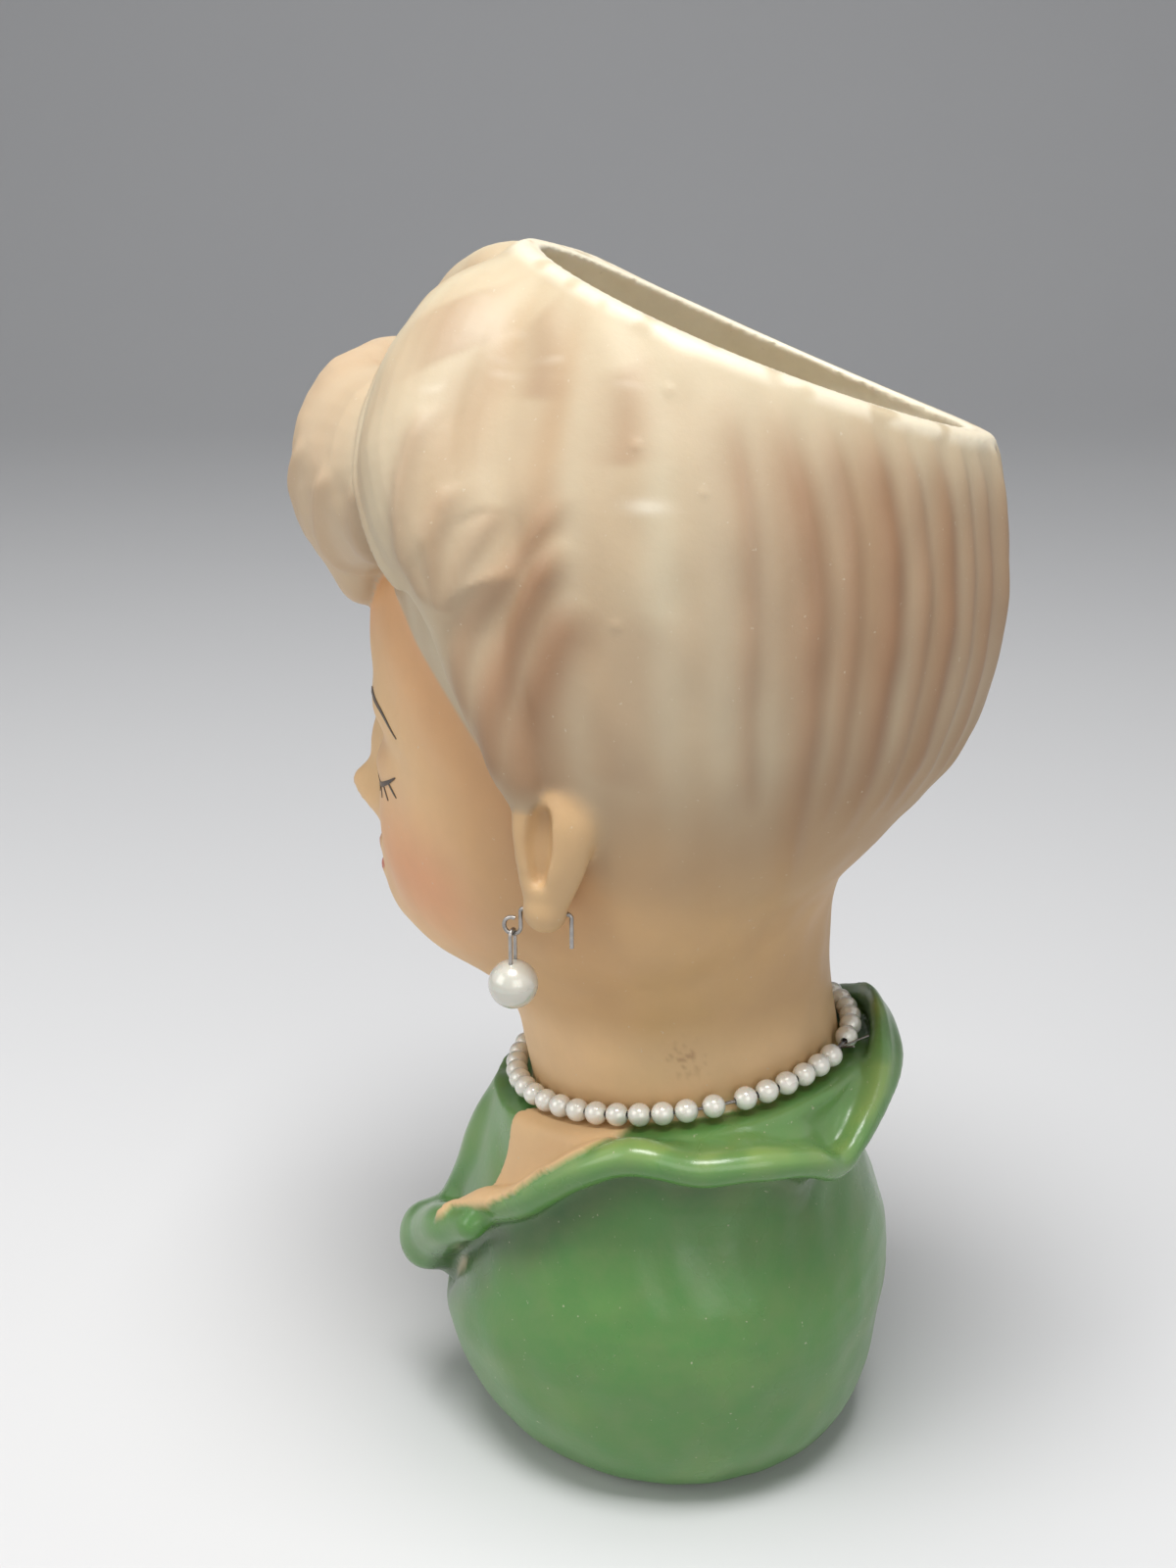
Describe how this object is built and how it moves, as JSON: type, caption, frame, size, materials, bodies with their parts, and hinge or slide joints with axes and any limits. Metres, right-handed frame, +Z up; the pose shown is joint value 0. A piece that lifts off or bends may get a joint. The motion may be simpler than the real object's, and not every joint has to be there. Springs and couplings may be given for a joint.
{
  "type": "head planter",
  "caption": "Hollow ceramic lady's head planter with an open crown, ruffled collar, pierced ears with hanging pearl drops, and a strung pearl necklace that turns on the neck.",
  "frame": {"origin": "middle of the flat foot, on the table", "axes": "+Z up; the face looks along -Y; her left ear is on +X"},
  "size_m": [0.0774, 0.0907, 0.1609],
  "materials": {
    "bisque": "hand-painted matte bisque",
    "ear_wire": "thin bright steel wire",
    "strand_wire": "thin dull steel wire",
    "drop_pearl": "imitation pearl, cream",
    "bead_pearl": "imitation pearl, white"
  },
  "bodies": {
    "planter": {"ceramic_body": "bisque"},
    "left_hook": {"left_ear_hook": "ear_wire"},
    "left_drop": {"left_drop_staple": "ear_wire", "left_drop_pearl": "drop_pearl"},
    "right_hook": {"right_ear_hook": "ear_wire"},
    "right_drop": {"right_drop_staple": "ear_wire", "right_drop_pearl": "drop_pearl"},
    "necklace": {"necklace_wire": "strand_wire"},
    "bead_run_rear": {"necklace_bead_01": "bead_pearl", "necklace_bead_02": "bead_pearl", "necklace_bead_03": "bead_pearl", "necklace_bead_04": "bead_pearl", "necklace_bead_05": "bead_pearl", "necklace_bead_06": "bead_pearl"},
    "bead_single_rear": {"necklace_bead_07": "bead_pearl"},
    "bead_run_front": {"necklace_bead_08": "bead_pearl", "necklace_bead_09": "bead_pearl", "necklace_bead_10": "bead_pearl", "necklace_bead_11": "bead_pearl", "necklace_bead_12": "bead_pearl", "necklace_bead_13": "bead_pearl", "necklace_bead_14": "bead_pearl", "necklace_bead_15": "bead_pearl", "necklace_bead_16": "bead_pearl", "necklace_bead_17": "bead_pearl", "necklace_bead_18": "bead_pearl", "necklace_bead_19": "bead_pearl", "necklace_bead_20": "bead_pearl", "necklace_bead_21": "bead_pearl", "necklace_bead_22": "bead_pearl", "necklace_bead_23": "bead_pearl", "necklace_bead_24": "bead_pearl", "necklace_bead_25": "bead_pearl", "necklace_bead_26": "bead_pearl", "necklace_bead_27": "bead_pearl", "necklace_bead_28": "bead_pearl", "necklace_bead_29": "bead_pearl", "necklace_bead_30": "bead_pearl", "necklace_bead_31": "bead_pearl", "necklace_bead_32": "bead_pearl", "necklace_bead_33": "bead_pearl", "necklace_bead_34": "bead_pearl", "necklace_bead_35": "bead_pearl", "necklace_bead_36": "bead_pearl", "necklace_bead_37": "bead_pearl", "necklace_bead_38": "bead_pearl", "necklace_bead_39": "bead_pearl", "necklace_bead_40": "bead_pearl", "necklace_bead_41": "bead_pearl", "necklace_bead_42": "bead_pearl", "necklace_bead_43": "bead_pearl", "necklace_bead_44": "bead_pearl", "necklace_bead_45": "bead_pearl"},
    "bead_single_nape": {"necklace_bead_46": "bead_pearl"}
  },
  "joints": [
    {"name": "left_hook_swing", "type": "hinge", "parent": "planter", "child": "left_hook", "pos_m": [0.03445, -0.00642, 0.0879], "axis": [0, -1, 0], "range_deg": [-10, 60]},
    {"name": "left_drop_swing", "type": "hinge", "parent": "left_hook", "child": "left_drop", "pos_m": [0.03445, -0.01067, 0.08499], "axis": [1, 0, 0], "range_deg": [-45, 45]},
    {"name": "right_hook_swing", "type": "hinge", "parent": "planter", "child": "right_hook", "pos_m": [-0.03445, -0.00642, 0.0879], "axis": [0, 1, 0], "range_deg": [-10, 60]},
    {"name": "right_drop_swing", "type": "hinge", "parent": "right_hook", "child": "right_drop", "pos_m": [-0.03445, -0.01067, 0.08499], "axis": [1, 0, 0], "range_deg": [-45, 45]},
    {"name": "necklace_turn", "type": "hinge", "parent": "planter", "child": "necklace", "pos_m": [0, 0, 0.0565], "axis": [0, -0.1736, 0.9848], "range_deg": [-150, 5]},
    {"name": "bead_run_rear_slip", "type": "hinge", "parent": "necklace", "child": "bead_run_rear", "pos_m": [0, 0, 0.0565], "axis": [0, -0.1736, 0.9848], "range_deg": [-2.99, 0]},
    {"name": "bead_single_rear_slip", "type": "hinge", "parent": "necklace", "child": "bead_single_rear", "pos_m": [0, 0, 0.0565], "axis": [0, -0.1736, 0.9848], "range_deg": [-1.12, 0]},
    {"name": "bead_run_front_slip", "type": "hinge", "parent": "necklace", "child": "bead_run_front", "pos_m": [0, 0, 0.0565], "axis": [0, -0.1736, 0.9848], "range_deg": [-2.24, 0]},
    {"name": "bead_single_nape_slip", "type": "hinge", "parent": "necklace", "child": "bead_single_nape", "pos_m": [0, 0, 0.0565], "axis": [0, -0.1736, 0.9848], "range_deg": [-2.11, 0]}
  ]
}
